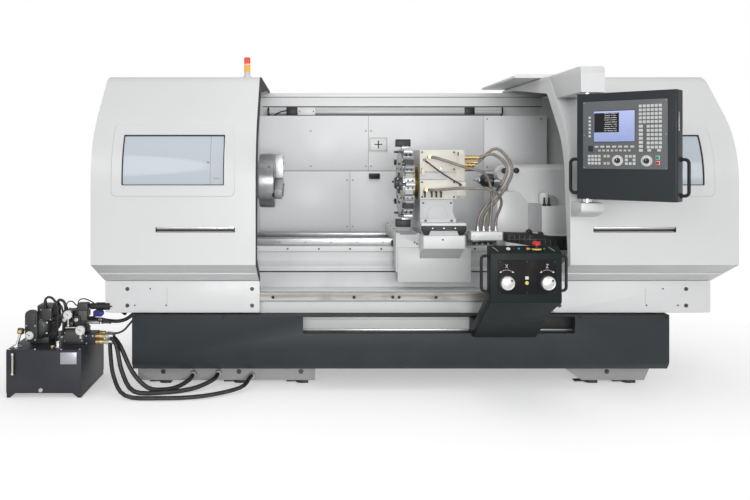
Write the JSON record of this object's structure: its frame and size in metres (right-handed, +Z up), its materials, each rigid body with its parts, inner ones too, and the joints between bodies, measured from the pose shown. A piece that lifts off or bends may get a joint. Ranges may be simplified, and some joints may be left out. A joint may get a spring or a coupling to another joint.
{
  "type": "cnc lathe",
  "caption": "White flat-bed CNC lathe with two sliding hoods, swivelling control pendant, front console, tool turret and hydraulic unit.",
  "frame": {"origin": "middle of the whole outline on the floor", "axes": "+Z up, +X along the spindle towards the tailstock, front faces -Y"},
  "size_m": [4.085, 1.9462, 1.9776],
  "materials": {
    "white_paint": "satin",
    "slate_paint": "satin",
    "grey_casting": "satin",
    "cream_paint": "satin",
    "machined_steel": "satin",
    "dark_steel": "satin",
    "stainless_sheet": "satin",
    "black_plastic": "matte",
    "black_rubber": "matte",
    "window_glass": "gloss",
    "panel_face": "matte",
    "red_plastic": "gloss",
    "lamp_lens": "gloss",
    "steel_braid": "satin",
    "aluminium_knob": "satin",
    "tank_paint": "satin",
    "brass_block": "satin"
  },
  "bodies": {
    "frame": {"left_foot": "white_paint", "right_foot": "white_paint", "base_tray": "slate_paint", "front_panel": "white_paint", "door_rail": "stainless_sheet", "chip_chute": "grey_casting", "bed_casting": "grey_casting", "headstock": "grey_casting", "left_housing": "white_paint", "right_housing": "white_paint", "rear_wall": "white_paint", "rear_guard": "stainless_sheet", "rear_cabinet": "white_paint", "work_light": "white_paint", "oil_tank": "tank_paint", "pump_motor": "dark_steel", "valve_block": "dark_steel", "manifold": "brass_block", "floor_hose_1": "black_rubber", "floor_hose_2": "black_rubber", "floor_hose_3": "black_rubber", "unit_cable": "black_rubber", "drain_hose": "black_rubber"},
    "left_hood": {"left_door": "white_paint", "left_window": "window_glass", "left_pull": "stainless_sheet", "left_apron": "white_paint", "tower_base": "grey_casting", "tower_lamps": "lamp_lens"},
    "right_hood": {"right_door": "white_paint", "right_window": "window_glass", "right_pull": "stainless_sheet", "right_apron": "white_paint", "pendant_arm": "white_paint", "pendant_bracket": "white_paint", "arm_cover": "white_paint"},
    "pendant": {"pendant_case": "slate_paint", "pendant_panel": "panel_face", "pendant_grip_left": "black_rubber", "pendant_grip_right": "black_rubber"},
    "carriage": {"saddle": "white_paint", "hose_block": "white_paint"},
    "cross_carrier": {"cross_slide": "grey_casting", "turret_stand": "grey_casting", "turret_head": "cream_paint", "turret_hose_1": "steel_braid", "turret_hose_2": "steel_braid", "turret_hose_3": "steel_braid", "turret_hose_4": "steel_braid"},
    "turret": {"tool_disc": "machined_steel"},
    "spindle": {"chuck": "machined_steel"},
    "tail": {"tailstock": "grey_casting"},
    "quill_body": {"quill": "dark_steel"},
    "console": {"console_case": "slate_paint", "console_panel": "black_plastic", "console_grip_left": "black_rubber", "console_grip_right": "black_rubber", "stop_button": "red_plastic"},
    "x_handwheel": {"x_wheel": "aluminium_knob"},
    "z_handwheel": {"z_wheel": "aluminium_knob"}
  },
  "joints": [
    {"name": "left_hood_slide", "type": "slide", "parent": "frame", "child": "left_hood", "axis": [1, 0, 0], "range_m": [0, 0.86]},
    {"name": "right_hood_slide", "type": "slide", "parent": "frame", "child": "right_hood", "axis": [-1, 0, 0], "range_m": [0, 0.86]},
    {"name": "pendant_swivel", "type": "hinge", "parent": "right_hood", "child": "pendant", "pos_m": [1.1675, -0.5969, 1.148], "axis": [0, 0, 1], "range_deg": [-35, 41]},
    {"name": "carriage_slide", "type": "slide", "parent": "frame", "child": "carriage", "axis": [1, 0, 0], "range_m": [-0.6, 0.05]},
    {"name": "cross_feed", "type": "slide", "parent": "carriage", "child": "cross_carrier", "axis": [0, 1, 0], "range_m": [-0.03, 0.12], "deforming": ["turret_hose_1", "turret_hose_2", "turret_hose_3", "turret_hose_4"]},
    {"name": "turret_index", "type": "hinge", "parent": "cross_carrier", "child": "turret", "pos_m": [0.2525, -0.0969, 1.2116], "axis": [1, 0, 0], "continuous": true},
    {"name": "spindle_rotation", "type": "hinge", "parent": "frame", "child": "spindle", "pos_m": [-0.5925, 0.2531, 1.216], "axis": [1, 0, 0], "continuous": true},
    {"name": "tailstock_slide", "type": "slide", "parent": "frame", "child": "tail", "axis": [1, 0, 0], "range_m": [-0.03, 0.26]},
    {"name": "quill_feed", "type": "slide", "parent": "tail", "child": "quill_body", "axis": [-1, 0, 0], "range_m": [0, 0.1]},
    {"name": "console_slide", "type": "slide", "parent": "frame", "child": "console", "axis": [1, 0, 0], "range_m": [-0.9, 0.2]},
    {"name": "x_wheel_turn", "type": "hinge", "parent": "console", "child": "x_handwheel", "pos_m": [0.7125, -0.6969, 0.713], "axis": [0, 1, 0], "continuous": true},
    {"name": "z_wheel_turn", "type": "hinge", "parent": "console", "child": "z_handwheel", "pos_m": [0.9245, -0.6969, 0.713], "axis": [0, 1, 0], "continuous": true}
  ]
}
